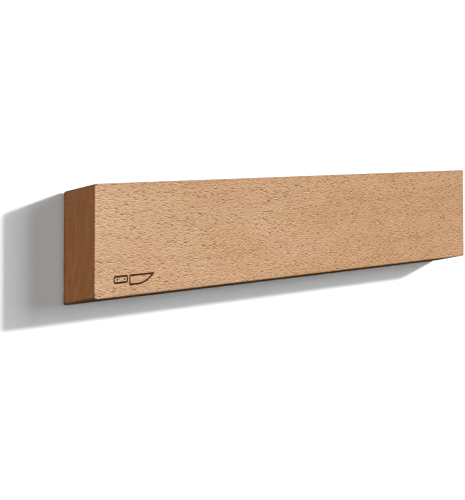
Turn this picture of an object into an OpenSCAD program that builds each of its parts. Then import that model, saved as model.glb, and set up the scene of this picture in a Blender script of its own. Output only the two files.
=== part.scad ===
// Wall-mounted magnetic knife rack.
// A solid beech bar hides two rows of block magnets just behind its front face. Each row is
// backed by a steel keeper and a filler batten, and one steel plate closes the back. The plate
// has two keyholes, which hang on two wall screws in nylon plugs.
//
// Frame, in millimetres: the wall is the plane y = 0 and the bar stands in front of it, towards
// -Y. X runs along the bar and Z is up. The origin is the middle of the bar on the wall plane.

/* [Bar] */
// Length of the wooden bar
bar_length = 406; // [370:1:600]
// Height of the wooden bar
bar_height = 64; // [62:1:90]
// Thickness of the wooden bar, front to back
bar_depth = 23; // [22:0.5:35]
// Radius of the four corners seen from the front
corner_radius = 2.5; // [1:0.5:4]
// Radius that eases the long edges
edge_radius = 0.8; // [0.4:0.1:1.2]

/* [Magnets] */
// Length of one block magnet, along the bar
magnet_length = 20; // [12:1:22]
// Height of one block magnet
magnet_height = 11.6; // [9:0.1:11.8]
// Thickness of one block magnet
magnet_thickness = 4; // [3:0.5:6]
// Distance from one magnet to the next
magnet_pitch = 25; // [24:1:30]
// Wood left between the magnets and the front face
front_skin = 2.5; // [1.5:0.5:4]
// Thickness of the steel keeper behind each row
keeper_thickness = 1.5; // [1:0.5:2]

/* [Back plate] */
// Thickness of the steel back plate
plate_thickness = 1.5; // [1.5:0.1:2]
// Wood left between the plate and the ends of the bar
end_border = 10; // [9:1:14]
// Wood left between the plate and the top and bottom of the bar
side_border = 6; // [5:0.5:6]
// Corner radius of the plate
plate_corner = 6; // [3:0.5:8]

/* [Hanging] */
// Distance between the two wall screws
keyhole_spacing = 300; // [220:10:300]
// How far the rack lifts before its keyholes clear the screw heads
lift_travel = 9; // [8:0.5:10]
// Diameter of the keyhole's entry
entry_diameter = 10.4; // [9.8:0.1:10.8]
// Width of the keyhole's slot
slot_width = 5; // [4.6:0.1:5.6]

/* [Wall kit] */
// Outside diameter of the wall screw's thread
screw_diameter = 4; // [3.5:0.5:4]
// Length of the wall screw under its head
screw_length = 38; // [30:1:45]
// Diameter of the wall screw's head
head_diameter = 9; // [8:0.5:9]
// Outside diameter of the wall plug
plug_diameter = 6; // [6:0.5:8]
// Length of the wall plug
plug_length = 30; // [25:1:40]

/* [Pads] */
// Diameter of the rubber pads
pad_diameter = 12; // [8:1:14]
// How far the pads hold the bar off the wall
pad_thickness = 1.5; // [1:0.5:3]

/* [Hidden] */
$fn = 64;

cut = 1;             // how far a cutter runs past the surface it opens
fit_gap = 0.2;       // side clearance of a piece laid in its pocket
thread_gap = 0.02;   // clearance round a thread in the hole that it made

// Depth stations from the wall towards the front, all at or below zero.
y_back = -pad_thickness;
y_plate = y_back - plate_thickness;
y_front = y_back - bar_depth;
y_magnet = y_front + front_skin;
y_keeper = y_magnet + magnet_thickness;
y_batten = y_keeper + keeper_thickness;

// The plate and the two round-ended channels that it covers. Each channel stops short of the
// corner screws, and its straight part holds the row of magnets.
plate_length = bar_length - 2 * end_border;
plate_height = bar_height - 2 * side_border;
plate_ledge = 1.5;
channel_height = 12;
channel_end_room = 16;
row_z = plate_height / 2 - plate_ledge - channel_height / 2;
magnets_per_row = floor((plate_length - 2 * channel_end_room) / magnet_pitch);
row_length = (magnets_per_row - 1) * magnet_pitch + magnet_length;
channel_length = row_length + channel_height + 1;
magnet_corner = 0.6;
keeper_corner = 1;

// Countersunk screws that hold the plate: four at its corners and four between the keyholes.
plate_screw_diameter = 3;
plate_screw_head = 5.6;
plate_screw_length = 12;
corner_screw_inset = 7;
centre_screw_shares = [-0.35, -0.12, 0.12, 0.35];
plate_screw_places = concat(
    [for (x = [-1, 1], z = [-1, 1]) [x * (plate_length / 2 - corner_screw_inset), z * row_z]],
    [for (share = centre_screw_shares) [share * keyhole_spacing, 0]]
);

// Wall screws: the shank stands at the top of the keyhole's slot while the rack hangs.
screw_x = keyhole_spacing / 2;
screw_z = lift_travel / 2;
head_height = 2.6;
head_play = 0.3;
y_head = y_plate - head_play;
hang_gap = 0.05;
slot_top = screw_diameter / 2 + hang_gap - slot_width / 2;
pocket_play = 0.8;
pocket_depth = 5.5;

// Rubber pads: one in the middle of the plate and one near each corner.
pad_inset = [22, 9];
pad_rim = 0.6;
pad_x = plate_length / 2 - pad_inset[0];
pad_z = plate_height / 2 - pad_inset[1];
pad_places = concat([[0, 0]], [for (x = [-1, 1], z = [-1, 1]) [x * pad_x, z * pad_z]]);

// Engraved mark: the outline of a small kitchen knife near the bar's lower left corner.
mark_left = 15.8;
mark_above_edge = 5.7;
mark_depth = 0.5;
mark_stroke = 1.1;
mark_blade = [22, 6.2];
mark_belly_start = 7.5;
mark_handle = [12.3, 4.6];
mark_handle_corner = 1.6;
mark_gap = 1;
mark_rivet = 1.2;

/* Shapes used more than once */

// A plate with its outline in the XZ plane, from y_rear forwards by its thickness.
module slab(y_rear, thickness) {
    translate([0, y_rear, 0]) rotate([90, 0, 0]) linear_extrude(thickness) children();
}

// A cutter that opens the surface at y_rear and reaches depth in front of it.
module pocket(y_rear, depth) {
    slab(y_rear + cut, depth + cut) children();
}

// A solid of revolution about Y. The profile's points are [radius, distance along +Y].
module turned(profile) {
    rotate([-90, 0, 0]) rotate_extrude() polygon(profile);
}

// A round rod along +Y from y_start.
module rod(diameter, length, y_start = 0) {
    translate([0, y_start, 0]) rotate([-90, 0, 0]) cylinder(d = diameter, h = length);
}

module rounded_rectangle(size, radius) {
    square([size[0] - 2 * radius, size[1]], center = true);
    square([size[0], size[1] - 2 * radius], center = true);
    for (x = [-1, 1], y = [-1, 1])
        translate([x * (size[0] / 2 - radius), y * (size[1] / 2 - radius)]) circle(radius);
}

// A slot with round ends, along X.
module stadium(length, width) {
    square([length - width, width], center = true);
    for (side = [-1, 1]) translate([side * (length - width) / 2, 0]) circle(d = width);
}

module cross_recess(width, length, depth) {
    for (angle = [0, 90])
        rotate([0, angle, 0])
            translate([-length / 2, -depth, -width / 2]) cube([length, 2 * depth, width]);
}

// One ridge, given as [radius, share of the pitch] points, repeated from y_start up to y_end.
function ridges(ridge, pitch, y_start, y_end) =
    let (count = floor((y_end - y_start) / pitch))
    [for (i = [0:count - 1], point = ridge) [point[0], y_start + (i + point[1]) * pitch]];

// A thread, cut as rings: the same depth and pitch as the helix, without its lead.
function thread_rings(crest, root, pitch, y_start, y_end) =
    ridges([[root, 0.1], [crest, 0.45], [crest, 0.6], [root, 0.95]], pitch, y_start, y_end);

module at_each(places) {
    for (place = places) translate([place[0], 0, place[1]]) children();
}

/* The bar */

module eased_block() {
    intersection() {
        slab(y_back, bar_depth) rounded_rectangle([bar_length, bar_height], corner_radius);
        translate([0, y_back - bar_depth / 2, -bar_height / 2 - cut])
            linear_extrude(bar_height + 2 * cut)
                rounded_rectangle([bar_length, bar_depth], edge_radius);
        translate([-bar_length / 2 - cut, y_back - bar_depth / 2, 0])
            rotate([0, 90, 0]) linear_extrude(bar_length + 2 * cut)
                rounded_rectangle([bar_height, bar_depth], edge_radius);
    }
}

// The blade's spine is straight along the top, and its edge rises in one arc to the tip.
module mark_blade_shape(inset) {
    rise = mark_blade[0] - mark_belly_start;
    belly_radius = (rise * rise + mark_blade[1] * mark_blade[1]) / (2 * mark_blade[1]);
    inner_height = mark_blade[1] - 2 * inset;
    translate([inset, inset]) square([mark_belly_start - inset, inner_height]);
    intersection() {
        translate([mark_belly_start, inset]) square([rise, inner_height]);
        translate([mark_belly_start, belly_radius]) circle(belly_radius - inset, $fn = 180);
    }
}

module mark_handle_shape(inset) {
    rounded_rectangle(mark_handle - 2 * [inset, inset], mark_handle_corner - inset);
}

module mark_outline() {
    translate([mark_handle[0] + mark_gap, 0]) difference() {
        mark_blade_shape(0);
        mark_blade_shape(mark_stroke);
    }
    translate([mark_handle[0] / 2, mark_blade[1] - mark_handle[1] / 2]) {
        difference() {
            mark_handle_shape(0);
            mark_handle_shape(mark_stroke);
        }
        for (side = [-1, 1]) translate([side * mark_handle[0] / 4, 0]) circle(d = mark_rivet);
    }
}

module keyhole_outline(entry, slot) {
    translate([0, screw_z - lift_travel]) circle(d = entry);
    translate([-slot / 2, screw_z - lift_travel]) square([slot, lift_travel + slot_top]);
    translate([0, screw_z + slot_top]) circle(d = slot);
}

module wood_bar() {
    color("burlywood") difference() {
        eased_block();
        pocket(y_back, plate_thickness)
            rounded_rectangle([plate_length + fit_gap, plate_height + fit_gap], plate_corner);
        for (side = [-1, 1])
            translate([0, 0, side * row_z])
                pocket(y_plate, y_plate - y_magnet) stadium(channel_length, channel_height);
        for (side = [-1, 1])
            translate([side * screw_x, 0, 0])
                pocket(y_plate, pocket_depth)
                    rotate(90)
                        stadium(lift_travel + head_diameter + 2 * pocket_play,
                                head_diameter + 2 * pocket_play);
        at_each(plate_screw_places)
            rod(plate_screw_diameter + 2 * thread_gap, plate_screw_length + cut,
                y_back - plate_screw_length - thread_gap);
        translate([mark_left - bar_length / 2, 0, mark_above_edge - bar_height / 2])
            slab(y_front + mark_depth, mark_depth + cut) mark_outline();
    }
}

/* What the bar holds */

module magnet_row(side) {
    color("gainsboro")
        for (i = [0:magnets_per_row - 1])
            translate([(i - (magnets_per_row - 1) / 2) * magnet_pitch, 0, side * row_z])
                slab(y_keeper, magnet_thickness)
                    rounded_rectangle([magnet_length, magnet_height], magnet_corner);
}

module keeper(side) {
    color("lightslategray") translate([0, 0, side * row_z])
        slab(y_batten, keeper_thickness)
            rounded_rectangle([row_length, channel_height - 2 * fit_gap], keeper_corner);
}

module filler_batten(side) {
    color("wheat") translate([0, 0, side * row_z])
        slab(y_plate, y_plate - y_batten)
            stadium(channel_length - 2 * fit_gap, channel_height - 2 * fit_gap);
}

/* The back plate and what holds it */

module back_plate() {
    color("silver") difference() {
        slab(y_back, plate_thickness)
            rounded_rectangle([plate_length, plate_height], plate_corner);
        for (side = [-1, 1])
            translate([side * screw_x, 0, 0])
                slab(y_back + cut, plate_thickness + 2 * cut)
                    keyhole_outline(entry_diameter, slot_width);
        at_each(plate_screw_places) {
            rod(plate_screw_diameter + 2 * fit_gap, plate_thickness + 2 * cut, y_plate - cut);
            translate([0, y_back, 0])
                turned([
                    [0, plate_screw_head / -2 - fit_gap], [0, cut],
                    [plate_screw_head / 2 + fit_gap, cut], [plate_screw_head / 2 + fit_gap, 0]
                ]);
        }
    }
}

// A countersunk wood screw with its head flush at y = 0 and its tip towards -Y.
module plate_screw() {
    crest = plate_screw_diameter / 2;
    root = crest - 0.4;
    pitch = 1.2;
    head_cone = plate_screw_head / 2 - crest;
    thread_start = head_cone + 1;
    thread_end = plate_screw_length - 2;
    mirror([0, 1, 0]) difference() {
        turned(concat(
            [[0, 0], [plate_screw_head / 2, 0], [crest, head_cone], [crest, thread_start]],
            thread_rings(crest, root, pitch, thread_start, thread_end),
            [[root, thread_end], [0, plate_screw_length]]
        ));
        cross_recess(width = 0.7, length = 3, depth = 1);
    }
}

module plate_screws() {
    color("gainsboro") at_each(plate_screw_places) translate([0, y_back, 0]) plate_screw();
}

// Each pad's rim is rounded off towards the wall.
module rubber_pads() {
    radius = pad_diameter / 2;
    flat = radius - pad_rim;
    rim = [for (a = [0:15:90]) [flat + pad_rim * cos(a), pad_rim * (sin(a) - 1)]];
    color("dimgray") at_each(pad_places)
        turned(concat([[0, -pad_thickness], [radius, -pad_thickness]], rim, [[0, 0]]));
}

/* The wall kit */

// A truss-head screw: the head stands behind the plate, and the thread runs into the plug.
module wall_screw(side) {
    crest = screw_diameter / 2;
    root = crest - 0.5;
    pitch = 1.6;
    thread_start = 8;
    thread_end = screw_length - 4;
    head_radius = head_diameter / 2;
    dome_radius = (head_radius * head_radius + head_height * head_height) / (2 * head_height);
    color("gainsboro") translate([side * screw_x, y_head, screw_z]) {
        difference() {
            intersection() {
                rod(head_diameter, head_height, -head_height);
                translate([0, dome_radius - head_height, 0]) sphere(dome_radius);
            }
            translate([0, -head_height, 0]) cross_recess(width = 1, length = 4.6, depth = 1.7);
        }
        turned(concat(
            [[0, 0], [crest, 0], [crest, thread_start]],
            thread_rings(crest, root, pitch, thread_start, thread_end),
            [[root, thread_end], [0, screw_length]]
        ));
    }
}

// A nylon plug: a collar on the wall, a plain neck, and a barbed body split up the middle.
module wall_plug(side) {
    radius = plug_diameter / 2;
    valley = radius - 0.45;
    bore = screw_diameter / 2 + thread_gap;
    mouth = bore + 0.35;
    collar_radius = radius + 1.2;
    collar_thickness = 0.8;
    neck = 8;
    barb_end = plug_length - 4;
    barb_pitch = 3;
    split_start = neck + 2;
    split_width = 1;
    barb = [[valley, 0.02], [radius, 0.55], [radius, 0.98]];
    color("whitesmoke") translate([side * screw_x, 0, screw_z]) difference() {
        turned(concat(
            [[bore, -collar_thickness], [collar_radius, -collar_thickness]],
            [[collar_radius, 0], [radius, 0], [radius, neck]],
            ridges(barb, barb_pitch, neck, barb_end),
            [[valley, barb_end], [mouth, plug_length], [bore, plug_length]]
        ));
        translate([-split_width / 2, split_start, -collar_radius])
            cube([split_width, plug_length, 2 * collar_radius]);
    }
}

wood_bar();
magnet_row(1);  // magnets_upper
magnet_row(-1);  // magnets_lower
keeper(1);  // keeper_upper
keeper(-1);  // keeper_lower
filler_batten(1);  // filler_batten_upper
filler_batten(-1);  // filler_batten_lower
back_plate();
plate_screws();
rubber_pads();
wall_screw(-1);  // wall_screw_left
wall_screw(1);  // wall_screw_right
wall_plug(-1);  // wall_plug_left
wall_plug(1);  // wall_plug_right
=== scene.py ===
"""Looks for the wall-mounted magnetic knife rack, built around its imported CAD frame.

Lengths are in metres, as in the frame, except where a name or comment says millimetres. Shader
coordinates are scaled to millimetres, so that grain and scratches are stated at their real size.
"""

import math

import bmesh
import bpy
from mathutils import Matrix, Vector


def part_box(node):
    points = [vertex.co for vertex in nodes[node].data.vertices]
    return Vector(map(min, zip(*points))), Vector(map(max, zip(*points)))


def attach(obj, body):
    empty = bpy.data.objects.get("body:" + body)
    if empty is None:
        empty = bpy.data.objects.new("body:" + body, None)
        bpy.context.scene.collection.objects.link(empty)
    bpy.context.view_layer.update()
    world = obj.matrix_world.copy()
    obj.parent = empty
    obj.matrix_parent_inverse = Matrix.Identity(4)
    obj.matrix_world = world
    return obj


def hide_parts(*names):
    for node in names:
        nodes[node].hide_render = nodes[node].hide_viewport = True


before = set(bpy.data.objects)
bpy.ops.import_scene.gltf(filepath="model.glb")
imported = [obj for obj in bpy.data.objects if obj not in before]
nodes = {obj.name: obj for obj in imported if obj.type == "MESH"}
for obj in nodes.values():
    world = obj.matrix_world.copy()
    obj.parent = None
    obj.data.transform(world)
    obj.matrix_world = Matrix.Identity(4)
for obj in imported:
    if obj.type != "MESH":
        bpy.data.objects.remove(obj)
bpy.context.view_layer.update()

MM = 0.001


def srgb(red, green, blue):
    """A colour picked on screen, 0 to 255, as the linear RGBA that shaders take."""
    def linear(value):
        share = value / 255
        return share / 12.92 if share <= 0.04045 else ((share + 0.055) / 1.055) ** 2.4
    return (linear(red), linear(green), linear(blue), 1)


# ---------------------------------------------------------------- shader building

class Material:
    """A node material. Every input can be a number, a tuple, or another node's output."""

    def __init__(self, name):
        self.data = bpy.data.materials.new(name)
        self.data.use_nodes = True
        self.tree = self.data.node_tree
        self.tree.nodes.clear()
        coordinates = self.node("TexCoord")
        self.normal = coordinates.outputs["Normal"]
        self.point = self.vector("SCALE", coordinates.outputs["Object"], scale=1 / MM)
        split = self.node("SeparateXYZ", {"Vector": self.point})
        self.x, self.y, self.z = split.outputs

    def node(self, kind, inputs=None, **settings):
        """Adds a shader node. Its inputs are keyed by name or by index."""
        made = self.tree.nodes.new("ShaderNode" + kind)
        for key, value in settings.items():
            setattr(made, key, value)
        for key, value in (inputs or {}).items():
            if isinstance(value, bpy.types.NodeSocket):
                self.tree.links.new(value, made.inputs[key])
            else:
                made.inputs[key].default_value = value
        return made

    def math(self, operation, a, b=0.0, clamp=False):
        made = self.node("Math", {0: a, 1: b}, operation=operation, use_clamp=clamp)
        return made.outputs[0]

    def add(self, a, b):
        return self.math("ADD", a, b)

    def times(self, a, b):
        return self.math("MULTIPLY", a, b)

    def vector(self, operation, a, b=(0, 0, 0), scale=1.0):
        made = self.node("VectorMath", {0: a, 1: b, 3: scale}, operation=operation)
        return made.outputs[0]

    def combine(self, x, y, z=0.0):
        return self.node("CombineXYZ", {"X": x, "Y": y, "Z": z}).outputs[0]

    def stretched(self, x, y, z):
        """The point for a pattern whose grains are about x, y and z millimetres long."""
        return self.vector("MULTIPLY", self.point, (1 / x, 1 / y, 1 / z))

    def noise(self, vector, detail=2.0, roughness=0.5):
        inputs = {"Vector": vector, "Scale": 1.0, "Detail": detail, "Roughness": roughness}
        return self.node("TexNoise", inputs).outputs[0]

    def swing(self, vector, amount, detail=2.0):
        """Noise about zero, with about amount as its furthest reach."""
        return self.times(self.math("SUBTRACT", self.noise(vector, detail), 0.5), 2 * amount)

    def remap(self, value, low, high, to_low=0.0, to_high=1.0):
        """A smooth step from to_low at low to to_high at high."""
        inputs = {"Value": value, "From Min": low, "From Max": high,
                  "To Min": to_low, "To Max": to_high}
        return self.node("MapRange", inputs, interpolation_type="SMOOTHSTEP").outputs[0]

    def mix(self, share, a, b):
        """A colour from a at share zero to b at share one."""
        return self.node("Mix", {0: share, 6: a, 7: b}, data_type="RGBA").outputs[2]

    def between(self, share, a, b):
        """A number from a at share zero to b at share one."""
        return self.node("Mix", {0: share, 2: a, 3: b}, data_type="FLOAT").outputs[0]

    def tint(self, colour, level):
        """The colour made lighter or darker by a level about one."""
        if isinstance(colour, tuple):
            colour = colour[:3]
        return self.vector("SCALE", colour, scale=level)

    def bump(self, height):
        """A normal from a height in millimetres."""
        return self.node("Bump", {"Height": height, "Distance": MM, "Strength": 1.0}).outputs[0]

    def facing(self, axis):
        """One on surfaces that face along the axis, either way, and zero on the others."""
        split = self.node("SeparateXYZ", {"Vector": self.normal})
        return self.remap(self.math("ABSOLUTE", split.outputs[axis]), 0.6, 0.8)

    def finish(self, **inputs):
        """Closes the material with one Principled shader. Inputs are named as its sockets are."""
        named = {key.replace("_", " "): value for key, value in inputs.items()}
        shader = self.node("BsdfPrincipled", named)
        output = self.node("OutputMaterial")
        self.tree.links.new(shader.outputs[0], output.inputs["Surface"])
        return self.data


def paint(material, *names):
    """Gives the material to CAD nodes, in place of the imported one."""
    for name in names:
        mesh = nodes[name].data
        mesh.materials.clear()
        mesh.materials.append(material)


# ---------------------------------------------------------------- wood

bar_low, bar_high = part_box("wood_bar")
RIGHT_END, REAR_EDGE, TOP_EDGE = (length / MM for length in bar_high)
FRONT_EDGE = bar_low.y / MM


def rays(wood, x, z, length, width, layer):
    """The cut ends of the wood's rays: short spindles along the grain, in millimetres.

    They lie in the cells of a Voronoi pattern. Each row of cells is shifted along the grain, so that
    no spindles stack up in columns. Another layer of the same pattern gives other spindles.
    """
    row = wood.math("DIVIDE", z, width)
    step = wood.add(wood.math("DIVIDE", x, length), wood.times(row, 0.29))
    cells = wood.node("TexVoronoi", {"Vector": wood.combine(step, row, layer), "Scale": 1.0},
                      voronoi_dimensions="3D")
    spindle = wood.remap(cells.outputs["Distance"], 0.43, 0.2)
    pick = wood.node("SeparateColor", {"Color": cells.outputs["Color"]}).outputs[0]
    return wood.times(spindle, wood.remap(pick, 0.1, 0.95, 0.2, 1.0))


def flecks(wood, x, z):
    """Bold and fine rays together, from zero to one."""
    bold = rays(wood, x, z, length=5.8, width=0.6, layer=0.5)
    fine = rays(wood, x, z, length=3.6, width=0.42, layer=7.5)
    return wood.math("MAXIMUM", bold, wood.times(fine, 0.8))


def ripples(wood, x, z, length, width, relief):
    """Wavy fibres between the rays, from about -1 in a hollow to 1 on a ridge.

    Ridges and hollows take turns up the bar, because the pattern is a noise less its own copy,
    shifted by the relief.
    """
    along = wood.math("DIVIDE", x, length)
    here = wood.combine(along, wood.math("DIVIDE", z, width))
    above = wood.combine(along, wood.math("DIVIDE", wood.add(z, relief), width))
    return wood.times(wood.math("SUBTRACT", wood.noise(here, 1.0), wood.noise(above, 1.0)), 2.6)


def along_bar(wood):
    """Zero at the bar's left end and one at its right end."""
    return wood.add(wood.math("DIVIDE", wood.x, 2 * RIGHT_END), 0.5)


def fibre_height(wood):
    """The height of the fibre at each point: z with the grain's slow lean and small waves."""
    lean = wood.swing(wood.stretched(90, 60, 40), 3.5)
    ripple = wood.swing(wood.stretched(7, 14, 4), 0.75)
    return wood.add(wood.z, wood.add(lean, ripple))


def late_wood(wood, fibre):
    """One in the dark late wood of each growth ring, and zero in its pale early wood.

    The rings are arcs of uneven width about a pith far behind the bar, a little above its middle.
    """
    from_pith = wood.combine(0.0, wood.add(wood.y, -95.0), wood.add(fibre, -9.0))
    radius = wood.node("VectorMath", {0: from_pith}, operation="LENGTH").outputs["Value"]
    radius = wood.add(radius, wood.swing(wood.stretched(120, 9, 11), 1.6))
    rings = wood.noise(wood.combine(wood.times(radius, 0.55), wood.times(wood.z, 0.03)), 3.0)
    return wood.remap(rings, 0.42, 0.62)


def long_grain(wood, colours, ray_colour, fibre, late):
    """The front, back, top and bottom: their colour, and how deep their flecks and waves are.

    The figure is bold on the front, fainter on the back and faint on the top and bottom. It grows
    a little bolder towards the right end.
    """
    on_edge = wood.facing("Z")
    facing_rear = wood.node("SeparateXYZ", {"Vector": wood.normal}).outputs["Y"]
    fade = wood.times(wood.between(on_edge, 1.0, 0.3), wood.remap(facing_rear, 0.6, 0.8, 1.0, 0.6))
    fade = wood.times(fade, wood.remap(wood.x, -RIGHT_END, RIGHT_END, 1.0, 1.2))
    dark_flecks = wood.times(flecks(wood, wood.x, fibre), fade)
    # Painted highlights: the flecks again, shifted half a millimetre down.
    painted_lip_highlights = wood.times(flecks(wood, wood.x, wood.add(fibre, 0.5)), fade)
    waves = ripples(wood, wood.x, fibre, length=2.8, width=0.34, relief=0.55)
    waves = wood.times(waves, fade)

    # Under the figure lie broad patches, long streaks and the growth rings. The colour changes
    # faster near the left end than near the right one.
    patches = wood.math("SUBTRACT", wood.noise(wood.stretched(70, 12, 22), 3.0), 0.5)
    drift = wood.math("ADD", wood.math("POWER", along_bar(wood), 0.55), patches, clamp=True)
    streak = wood.noise(wood.combine(
        wood.math("DIVIDE", wood.x, 75.0), wood.math("DIVIDE", fibre, 3.2)), 3.0, 0.6)
    face = wood.mix(drift, *colours)
    face = wood.tint(face, wood.add(1.0, wood.times(wood.math("SUBTRACT", streak, 0.5), 0.15)))
    face = wood.tint(face, wood.between(late, 1.015, wood.between(on_edge, 0.97, 0.86)))

    # Each dark fleck gets a painted highlight right under it, as if light from above caught its
    # lower lip.
    face = wood.tint(face, wood.add(1.0, wood.times(waves, 0.68)))
    face = wood.tint(face, wood.add(1.0, wood.times(painted_lip_highlights, 0.3)))
    face = wood.mix(dark_flecks, face, ray_colour)

    blush = wood.remap(wood.noise(wood.stretched(34, 12, 13), 2.0), 0.36, 0.64)
    hue = wood.mix(blush, (0.98, 1.0, 0.96, 1), (1.0, 0.99, 1.0, 1))
    face = wood.vector("MULTIPLY", face, hue)

    # Painted light on the eased edges: a painted highlight along the left end, and painted shade
    # along the right end and the top.
    face = wood.tint(face, wood.remap(wood.x, 2.5 - RIGHT_END, 1.5 - RIGHT_END, 1.0, 1.07))
    face = wood.tint(face, wood.remap(wood.x, RIGHT_END - 3.5, RIGHT_END - 1.5, 1.0, 0.93))
    painted_top_shade = wood.remap(wood.z, TOP_EDGE - 1.9, TOP_EDGE - 0.8, 1.0, 0.93)
    face = wood.tint(face, wood.between(on_edge, painted_top_shade, 1.0))
    return face, dark_flecks, waves


def end_grain(wood, colours, late):
    """The two ends: their colour, and one in each pore.

    They drink more finish, so they are darker. The rings show as lines and the pores as dots.
    """
    pores = wood.node("TexVoronoi", {"Vector": wood.stretched(3, 0.22, 0.22), "Scale": 1.0})
    pore = wood.remap(pores.outputs["Distance"], 0.28, 0.12)
    ray_lines = wood.noise(wood.stretched(30, 14, 0.35), 2.0)
    end = wood.mix(along_bar(wood), *colours)
    end = wood.tint(end, wood.remap(ray_lines, 0.3, 0.7, 0.93, 1.07))
    end = wood.tint(end, wood.remap(late, 0.0, 1.0, 1.06, 0.93))
    end = wood.tint(end, wood.add(1.0, wood.swing(wood.stretched(60, 2.2, 16), 0.16)))
    end = wood.tint(end, wood.remap(pore, 0.0, 1.0, 1.01, 0.9))

    # Painted shade: a dark line along the back edge, where the bar sits against the wall, and a
    # fainter one along the front edge.
    end = wood.tint(end, wood.remap(wood.y, REAR_EDGE, REAR_EDGE - 2.4, 0.35, 1.0))
    end = wood.tint(end, wood.remap(wood.y, FRONT_EDGE + 0.5, FRONT_EDGE + 1.4, 0.78, 1.0))
    return end, pore


def painted_corner_shade(wood):
    """A painted shade round the bar's four corners: a darker level there, and one everywhere else.
    """
    near_edge = wood.remap(wood.math("ABSOLUTE", wood.z), TOP_EDGE - 1.8, TOP_EDGE - 0.8)
    near_end = wood.remap(wood.math("ABSOLUTE", wood.x), RIGHT_END - 3, RIGHT_END - 2)
    return wood.between(wood.times(near_edge, near_end), 1.0, 0.5)


def charring(wood, low, high):
    """One in an engraving between two corners, and zero round it.

    Its floor and walls lie behind the front face.
    """
    inside = wood.math("LESS_THAN", wood.y, high.y / MM)
    for value, start, end in ((wood.x, low.x, high.x), (wood.z, low.z, high.z)):
        inside = wood.times(inside, wood.math("GREATER_THAN", value, start / MM))
        inside = wood.times(inside, wood.math("LESS_THAN", value, end / MM))
    return wood.times(inside, wood.remap(wood.y, low.y / MM + 0.02, low.y / MM + 0.12))


def beech(name, face_colours, end_colours, ray_colour, roughness, mark=None):
    """Plain-sawn beech: rings run parallel to the front face, and the rays run front to back.

    On the front and back the rays are cut across and show as dark flecks. On the top and bottom
    they show as faint bands across the growth lines, and on the ends as thin lines. Each pair of
    colours belongs to the left and the right end of the bar. A mark is the box of an engraving.
    """
    wood = Material(name)
    fibre = fibre_height(wood)
    late = late_wood(wood, fibre)
    face, dark_flecks, waves = long_grain(wood, face_colours, ray_colour, fibre, late)
    end, pore = end_grain(wood, end_colours, late)
    is_end = wood.facing("X")
    # The corners get painted shade.
    colour = wood.tint(wood.mix(is_end, face, end), painted_corner_shade(wood))
    height = wood.add(wood.times(dark_flecks, -0.05), wood.times(waves, 0.04))
    height = wood.add(height, wood.times(wood.times(pore, is_end), -0.03))
    gloss = wood.add(roughness, wood.times(dark_flecks, 0.12))

    # Oil sits on the faces that are wiped with it. The top and bottom stay matt.
    sheen = wood.between(wood.facing("Z"), 0.06, 0.0)
    if mark:
        charred = charring(wood, *mark)
        ash = wood.noise(wood.stretched(0.8, 0.8, 0.5), 3.0)
        colour = wood.mix(charred, colour, wood.mix(ash, srgb(38, 16, 8), srgb(76, 36, 20)))
        height = wood.add(height, wood.times(wood.times(ash, charred), 0.06))
        gloss = wood.between(charred, gloss, 0.9)
        sheen = wood.between(charred, sheen, 0.0)
    return wood.finish(Base_Color=colour, Roughness=gloss, Normal=wood.bump(height),
                       Specular_IOR_Level=sheen)


# A box round the engraved mark, from the front's lower left corner, in millimetres.
MARK_INSET = Vector((14, 0, 4))
MARK_SIZE = Vector((39, 1.5, 9))
mark_low = bar_low + MARK_INSET * MM
mark_high = mark_low + MARK_SIZE * MM
oiled_beech = beech(
    "oiled_beech",
    face_colours=(srgb(187, 151, 119), srgb(169, 125, 81)),
    end_colours=(srgb(182, 121, 78), srgb(151, 106, 73)),
    ray_colour=srgb(90, 50, 21),
    roughness=0.65,
    mark=(mark_low, mark_high),
)
raw_beech = beech(
    "raw_beech",
    face_colours=(srgb(226, 200, 166), srgb(217, 186, 146)),
    end_colours=(srgb(190, 158, 118), srgb(186, 152, 112)),
    ray_colour=srgb(170, 130, 88),
    roughness=0.78,
)
paint(oiled_beech, "wood_bar")
paint(raw_beech, "filler_batten_upper", "filler_batten_lower")


# ---------------------------------------------------------------- metals, rubber, nylon

def metal(name, colour, spot_colour, roughness, grain, spots):
    """Plated or plain metal: rolling lines, soft cloudy patches and fine scratches along X.

    grain gives the size of the rolling lines along each axis, and spots how far the patches reach.
    """
    steel = Material(name)
    rolled = steel.swing(steel.stretched(*grain), 0.5, 3.0)
    cloud = steel.noise(steel.stretched(7, 7, 7), 4.0, 0.6)
    scratch_line = steel.noise(steel.stretched(9, 0.5, 0.12), 1.0)
    scratches = steel.remap(scratch_line, 0.66, 0.72)
    tone = steel.mix(steel.remap(cloud, 0.5 - spots, 0.75), colour, spot_colour)
    tone = steel.tint(tone, steel.add(1.0, steel.times(rolled, 0.1)))
    tone = steel.tint(tone, steel.add(1.0, steel.times(scratches, 0.12)))
    rough = steel.add(roughness, steel.times(steel.math("SUBTRACT", cloud, 0.5), 0.22))
    rough = steel.math("SUBTRACT", rough, steel.times(scratches, 0.08), clamp=True)
    height = steel.add(steel.times(rolled, 0.004), steel.times(scratches, -0.004))
    return steel.finish(Base_Color=tone, Metallic=1.0, Roughness=rough,
                        Normal=steel.bump(height))


def rubber(name):
    """Matt black moulded rubber with a fine grain and a trace of dust."""
    black = Material(name)
    grain = black.noise(black.stretched(0.35, 0.35, 0.35), 3.0)
    dust = black.remap(black.noise(black.stretched(3, 3, 3), 4.0, 0.65), 0.5, 0.8)
    tone = black.mix(black.times(dust, 0.5), srgb(30, 30, 31), srgb(92, 90, 86))
    return black.finish(Base_Color=tone, Normal=black.bump(black.times(grain, 0.03)),
                        Roughness=black.remap(grain, 0.3, 0.7, 0.72, 0.9))


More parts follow.
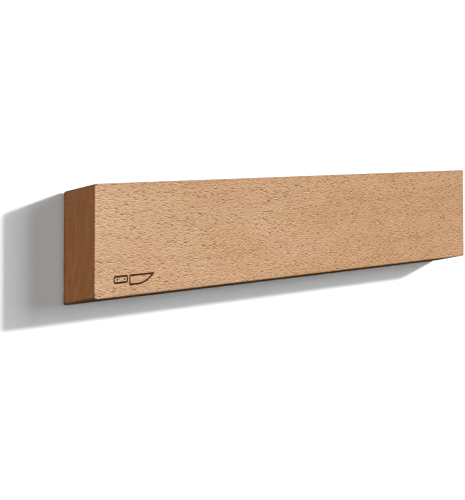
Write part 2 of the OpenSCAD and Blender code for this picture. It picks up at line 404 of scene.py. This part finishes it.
def nylon(name):
    """Natural moulded nylon: milky, slightly translucent, with flow marks along its length."""
    milky = Material(name)
    flow = milky.noise(milky.stretched(0.9, 6, 0.9), 3.0)
    pits = milky.noise(milky.stretched(0.3, 0.3, 0.3), 2.0)
    tone = milky.mix(milky.remap(flow, 0.3, 0.7), srgb(214, 212, 202), srgb(232, 231, 225))
    return milky.finish(
        Base_Color=tone,
        Roughness=milky.remap(pits, 0.3, 0.7, 0.38, 0.55),
        Subsurface_Weight=0.25,
        Subsurface_Radius=(1.2 * MM, 1.1 * MM, 1.0 * MM),
        Normal=milky.bump(milky.times(pits, 0.015)),
    )


plate_zinc = metal("plate_zinc", srgb(178, 181, 184), srgb(148, 152, 156),
                   roughness=0.4, grain=(40, 1, 0.25), spots=0.1)
screw_zinc = metal("screw_zinc", srgb(196, 196, 190), srgb(168, 166, 156),
                   roughness=0.3, grain=(1, 1, 0.3), spots=0.05)
keeper_steel = metal("keeper_steel", srgb(122, 126, 131), srgb(98, 95, 92),
                     roughness=0.46, grain=(30, 1, 0.2), spots=0.0)
magnet_nickel = metal("magnet_nickel", srgb(206, 201, 192), srgb(190, 183, 171),
                      roughness=0.2, grain=(3, 1, 1), spots=0.1)
pad_rubber = rubber("pad_rubber")
plug_nylon = nylon("plug_nylon")
paint(plate_zinc, "back_plate")
paint(keeper_steel, "keeper_upper", "keeper_lower")
paint(magnet_nickel, "magnets_upper", "magnets_lower")
paint(pad_rubber, "rubber_pads")
paint(plug_nylon, "wall_plug_left", "wall_plug_right")


def break_edges(width, *names):
    """Rounds the sharp edges of CAD nodes by a width in millimetres, as tumbling or sanding does."""
    for name in names:
        weld = nodes[name].modifiers.new("weld", "WELD")
        weld.merge_threshold = 0.002 * MM
        flats = nodes[name].modifiers.new("whole_flats", "DECIMATE")
        flats.decimate_type = "DISSOLVE"
        flats.angle_limit = math.radians(1)
        bevel = nodes[name].modifiers.new("broken_edges", "BEVEL")
        bevel.width = width * MM
        bevel.segments = 2
        bevel.limit_method = "ANGLE"
        bevel.angle_limit = math.radians(40)
        shading = nodes[name].modifiers.new("face_normals", "WEIGHTED_NORMAL")
        shading.weight = 100


break_edges(0.3, "magnets_upper", "magnets_lower", "filler_batten_upper", "filler_batten_lower")
break_edges(0.12, "keeper_upper", "keeper_lower", "back_plate")


# ---------------------------------------------------------------- screws

# Every ring round a screw has 48 points. On a head, six of them span each wing and each web of the
# cross recess. Elsewhere they are evenly spaced, and the first six lie about angle zero too.
SIDE_STEPS = (-1, -0.6, -0.2, 0.2, 0.6, 1)
EVEN_ANGLES = [math.radians(7.5 * i - 18.75) for i in range(48)]


def cross_angles(radius, half_width):
    """Angles round a ring that crosses a cross recess: for each, whether it lies in the recess.

    Every wing gets six angles between its walls, and every web between two wings gets six more.
    """
    wing = math.asin(min(0.66, half_width / max(radius, 0.01)))
    wall = min(0.06 / max(radius, 0.01), (math.pi / 4 - wing) / 2)
    web = math.pi / 4 - wing - wall
    angles = []
    for quarter in range(4):
        middle = quarter * math.pi / 2
        angles += [(middle + wing * step, True) for step in SIDE_STEPS]
        angles += [(middle + math.pi / 4 + web * step, False) for step in SIDE_STEPS]
    return angles


def head_rings(top, rim, half_width, reach, depth):
    """Rings of (radius, angle, distance) over a screw head, from its middle out to its rim.

    top gives the head's surface at each radius. The cross recess has wings of a half width and a
    reach from the middle. It is deepest in its middle, and each wing's floor rises towards its
    steep outer end.
    """
    inner = [reach * share for share in (0.04, 0.16, 0.3, 0.45, 0.6, 0.75, 0.88, 0.96)]
    outer = [reach * 1.03] + [reach + (rim - reach) * share for share in (0.2, 0.45, 0.7, 0.9, 1)]
    rings = []
    for radius in inner:
        floor = top(radius) + depth * (1 - 0.45 * (radius / reach) ** 1.5)
        rings.append([(radius, angle, floor if sunk else top(radius))
                      for angle, sunk in cross_angles(radius, half_width)])
    for radius in outer:
        rings.append([(radius, angle, top(radius))
                      for angle, sunk in cross_angles(radius, half_width)])
    return rings


def even_ring(radius, distance):
    """A round ring, with as many points as those of the head."""
    return [(radius, angle, distance) for angle in EVEN_ANGLES]


def thread_rings(crest, root, pitch, start, thread_end, tip):
    """Rings of a helical thread: sharp crests, round roots, a soft run-in and a tapered tip."""
    rings = []
    steps_per_turn = 9
    count = round((tip - start) / pitch * steps_per_turn)
    for i in range(count + 1):
        distance = start + (tip - start) * i / count
        taper = 1 - max(0, (distance - thread_end) / (tip - thread_end)) ** 1.4
        run_in = min(1, (distance - start) / pitch)
        ring = []
        for angle in EVEN_ANGLES:
            turn = ((distance - start) / pitch - angle / (2 * math.pi)) % 1
            ridge = max(0, 1 - abs(turn - 0.5) / 0.32) ** 0.8
            thread = root + (crest - root) * (1 - run_in + run_in * ridge)
            ring.append((max(0.05, taper * thread), angle, distance))
        rings.append(ring)
    return rings


def loft(target, place, rings, facing):
    """Adds a closed skin over the rings. Its distances run from place along Y, by facing."""
    loops = []
    for ring in rings:
        loops.append([target.verts.new(place + MM * Vector((
            radius * math.cos(angle), facing * distance, radius * math.sin(angle))))
            for radius, angle, distance in ring])
    size = len(loops[0])
    for near, far in zip(loops, loops[1:]):
        for i in range(size):
            following = (i + 1) % size
            target.faces.new((near[i], near[following], far[following], far[i]))
    for loop in (loops[0], loops[-1]):
        middle = target.verts.new(sum((vert.co for vert in loop), Vector()) / size)
        for i in range(size):
            target.faces.new((loop[i], loop[(i + 1) % size], middle))


def screw_object(name, places, rings, facing, body, node):
    """One object with a screw at each place, in the place of a CAD node."""
    made = bmesh.new()
    for place in places:
        loft(made, place, rings, facing)
    bmesh.ops.recalc_face_normals(made, faces=made.faces)
    mesh = bpy.data.meshes.new(name)
    made.to_mesh(mesh)
    made.free()
    mesh.shade_smooth()
    mesh.set_sharp_from_angle(angle=math.radians(38))
    mesh.materials.append(screw_zinc)
    screw = bpy.data.objects.new(name, mesh)
    bpy.context.scene.collection.objects.link(screw)
    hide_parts(node)
    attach(screw, body)


# The screws' sizes are the CAD model's, in millimetres. Their fillets and clearances are added here.
WALL_HEAD_RADIUS, WALL_HEAD_HEIGHT = 4.5, 2.6
WALL_THREAD_RADIUS, WALL_THREAD_DEPTH, WALL_THREAD_PITCH = 2.0, 0.5, 1.6
WALL_SCREW_NECK, WALL_SCREW_POINT, WALL_SCREW_LENGTH = 8, 4, 38
PLATE_HEAD_RADIUS = 2.8
PLATE_THREAD_RADIUS, PLATE_THREAD_DEPTH, PLATE_THREAD_PITCH = 1.5, 0.4, 1.2
PLATE_SCREW_NECK, PLATE_SCREW_POINT, PLATE_SCREW_LENGTH = 2.3, 2, 12
INNER_PLATE_SCREWS_X = (-105, -36, 36, 105)


def wall_screw_rings():
    """A truss head with its crown at distance 0, over a shank that is threaded past the neck."""
    rim, height, shank = WALL_HEAD_RADIUS, WALL_HEAD_HEIGHT, WALL_THREAD_RADIUS
    tip = height + WALL_SCREW_LENGTH
    dome = (rim * rim + height * height) / (2 * height)
    rings = head_rings(lambda r: dome - math.sqrt(dome * dome - r * r), rim - 0.08,
                       half_width=0.52, reach=2.3, depth=1.6)
    rings += [even_ring(rim - 0.01, height - 0.06), even_ring(rim - 0.06, height)]
    rings += [even_ring(shank + 0.3, height), even_ring(shank + 0.05, height + 0.08)]
    rings += [even_ring(shank, height + 0.3)]
    return rings + thread_rings(
        shank, shank - WALL_THREAD_DEPTH, WALL_THREAD_PITCH,
        height + WALL_SCREW_NECK, tip - WALL_SCREW_POINT, tip)


def plate_screw_rings():
    """A countersunk head, flat at distance 0, over a short threaded shank."""
    rim, shank = PLATE_HEAD_RADIUS, PLATE_THREAD_RADIUS
    rings = head_rings(lambda r: 0, rim - 0.12, half_width=0.36, reach=1.5, depth=0.95)
    rings += [even_ring(rim - 0.02, 0.04), even_ring(rim - 0.01, 0.12)]
    rings += [even_ring(shank + 0.02, rim - shank)]
    return rings + thread_rings(
        shank, shank - PLATE_THREAD_DEPTH, PLATE_THREAD_PITCH,
        PLATE_SCREW_NECK, PLATE_SCREW_LENGTH - PLATE_SCREW_POINT, PLATE_SCREW_LENGTH)


for side in ("left", "right"):
    node = "wall_screw_" + side
    low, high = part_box(node)
    crown = Vector(((low.x + high.x) / 2, low.y, (low.z + high.z) / 2))
    screw_object("threaded_" + node, [crown], wall_screw_rings(), 1, "wall_fixings", node)

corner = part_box("plate_screws")[1] - Vector((PLATE_HEAD_RADIUS, 0, PLATE_HEAD_RADIUS)) * MM
heads = [Vector((x * corner.x, corner.y, z * corner.z)) for x in (-1, 1) for z in (-1, 1)]
heads += [Vector((x * MM, corner.y, 0)) for x in INNER_PLATE_SCREWS_X]
screw_object("threaded_plate_screws", heads, plate_screw_rings(), -1, "rack", "plate_screws")


# ---------------------------------------------------------------- stage, light and camera

def plane(name, corners, material):
    """A backdrop with one face. It is not attached to any of the rack's bodies."""
    mesh = bpy.data.meshes.new(name)
    mesh.from_pydata(corners, [], [(0, 1, 2, 3)])
    mesh.materials.append(material)
    made = bpy.data.objects.new(name, mesh)
    bpy.context.scene.collection.objects.link(made)
    return made


def wall_paint():
    """Matt white paint that is only there from the front, so the rack's back stays in view."""
    white = Material("wall_paint")
    texture = white.noise(white.stretched(1.5, 1.5, 1.5), 3.0)
    shade = white.node("BsdfDiffuse", {"Color": (0.925, 0.945, 0.945, 1),
                                       "Normal": white.bump(white.times(texture, 0.02))})
    clear = white.node("BsdfTransparent")
    behind = white.node("NewGeometry").outputs["Backfacing"]
    mixed = white.node("MixShader", {0: behind, 1: shade.outputs[0], 2: clear.outputs[0]})
    output = white.node("OutputMaterial")
    white.tree.links.new(mixed.outputs[0], output.inputs["Surface"])
    return white.data


def floor_paint():
    """Matt pale grey with faint broad mottling."""
    pale = Material("floor_paint")
    mottle = pale.noise(pale.stretched(60, 60, 60), 3.0)
    tone = pale.tint((0.82, 0.82, 0.81), pale.remap(mottle, 0.3, 0.7, 0.99, 1.01))
    return pale.finish(Base_Color=tone, Roughness=0.8)


FLOOR_Z = -1.2
FLOOR_REACH = 30.0
WALL_REACH = 4.0
wall = plane(
    "wall",
    [(-WALL_REACH, 0, FLOOR_Z), (WALL_REACH, 0, FLOOR_Z),
     (WALL_REACH, 0, WALL_REACH), (-WALL_REACH, 0, WALL_REACH)],
    wall_paint(),
)
floor = plane(
    "floor",
    [(-FLOOR_REACH, -FLOOR_REACH, FLOOR_Z), (FLOOR_REACH, -FLOOR_REACH, FLOOR_Z),
     (FLOOR_REACH, FLOOR_REACH, FLOOR_Z), (-FLOOR_REACH, FLOOR_REACH, FLOOR_Z)],
    floor_paint(),
)
for backdrop in (wall, floor):
    backdrop.visible_shadow = False
    backdrop.visible_diffuse = False
wall.visible_glossy = False


def sun(name, direction, strength, angle):
    """A white sun whose light travels along the direction. Its angle is its width in degrees."""
    light = bpy.data.lights.new(name, "SUN")
    light.energy = strength
    light.angle = math.radians(angle)
    made = bpy.data.objects.new(name, light)
    made.rotation_euler = Vector(direction).to_track_quat("-Z", "Y").to_euler()
    bpy.context.scene.collection.objects.link(made)
    return made


# The key stands far to the right, in front and above: it throws the bar's shadow left and down.
sun("key", (-1.93, 1, -0.43), strength=5.15, angle=3.8)
# A broad light beside the key fades the shadow towards its left end.
sun("halo", (-1.48, 1, -0.25), strength=1.62, angle=31)
# Two fills lift the shadow. The left one also lights the near end and the gap behind the bar.
sun("front_fill", (0, 1, 0.12), strength=0.08, angle=4)
sun("left_fill", (1, 0.6, 0.035), strength=1.22, angle=15)

# The wall stands aside for this light. It only lights what the camera sees directly, because its
# bounce off the bar's back would glow in the gap between the bar and the wall.
rear = sun("rear", (-0.25, -1, -0.45), strength=3.0, angle=25)
rear.data.cycles.max_bounces = 0


def studio_world():
    """Dim even light, dimmer from below. The camera and glossy surfaces see a pale studio."""
    world = bpy.data.worlds.new("studio")
    world.use_nodes = True
    tree = world.node_tree
    tree.nodes.clear()
    coordinates = tree.nodes.new("ShaderNodeTexCoord")
    split = tree.nodes.new("ShaderNodeSeparateXYZ")
    rise = tree.nodes.new("ShaderNodeMapRange")
    ambient = tree.nodes.new("ShaderNodeBackground")
    seen = tree.nodes.new("ShaderNodeBackground")
    path = tree.nodes.new("ShaderNodeLightPath")
    mirrored = tree.nodes.new("ShaderNodeMath")
    pick = tree.nodes.new("ShaderNodeMixShader")
    output = tree.nodes.new("ShaderNodeOutputWorld")
    rise.interpolation_type = "SMOOTHSTEP"
    rise.inputs["From Min"].default_value = -0.6
    rise.inputs["From Max"].default_value = 0.2
    rise.inputs["To Min"].default_value = 0.05
    rise.inputs["To Max"].default_value = 0.11
    ambient.inputs["Color"].default_value = (0.98, 0.99, 1, 1)
    seen.inputs["Color"].default_value = (0.9, 0.9, 0.9, 1)
    links = tree.links
    links.new(coordinates.outputs["Generated"], split.inputs[0])
    links.new(split.outputs["Z"], rise.inputs["Value"])
    links.new(rise.outputs[0], ambient.inputs["Strength"])
    mirrored.operation = "MAXIMUM"
    links.new(path.outputs["Is Camera Ray"], mirrored.inputs[0])
    links.new(path.outputs["Is Glossy Ray"], mirrored.inputs[1])
    links.new(mirrored.outputs[0], pick.inputs[0])
    links.new(ambient.outputs[0], pick.inputs[1])
    links.new(seen.outputs[0], pick.inputs[2])
    links.new(pick.outputs[0], output.inputs["Surface"])
    bpy.context.scene.world = world


studio_world()

# The camera stands to the left, just under the bar. The picture that it matches was slanted
# upwards to the right after it was taken, so the camera's own axes are slanted in the same way.
CAMERA_PLACE = Vector((-0.8830, -0.6316, -0.0649))
CAMERA_YAW = math.radians(52.95)
CAMERA_PITCH = math.radians(3.02)
CAMERA_SLANT = math.radians(9.35)
CAMERA_LENS = 119.4


def slanted_camera():
    """A camera whose X axis dips by the slant while its Y axis stays upright."""
    camera = bpy.data.objects.new("camera", bpy.data.cameras.new("camera"))
    holder = bpy.data.objects.new("camera_holder", None)
    for made in (camera, holder):
        bpy.context.scene.collection.objects.link(made)
    camera.data.lens = CAMERA_LENS
    camera.data.clip_start = 0.01
    camera.data.clip_end = 50
    camera.location = CAMERA_PLACE
    camera.rotation_euler = (math.pi / 2 + CAMERA_PITCH, 0, -CAMERA_YAW)
    plain = Matrix.LocRotScale(CAMERA_PLACE, camera.rotation_euler, None)
    right, up = plain.col[0].copy(), plain.col[1].copy()
    slanted = plain.copy()
    slanted.col[0] = right * math.cos(CAMERA_SLANT) - up * math.sin(CAMERA_SLANT)
    camera.parent = holder
    camera.matrix_parent_inverse = slanted @ plain.inverted()
    return camera


bpy.context.scene.camera = slanted_camera()
bpy.context.scene.view_settings.view_transform = "Standard"
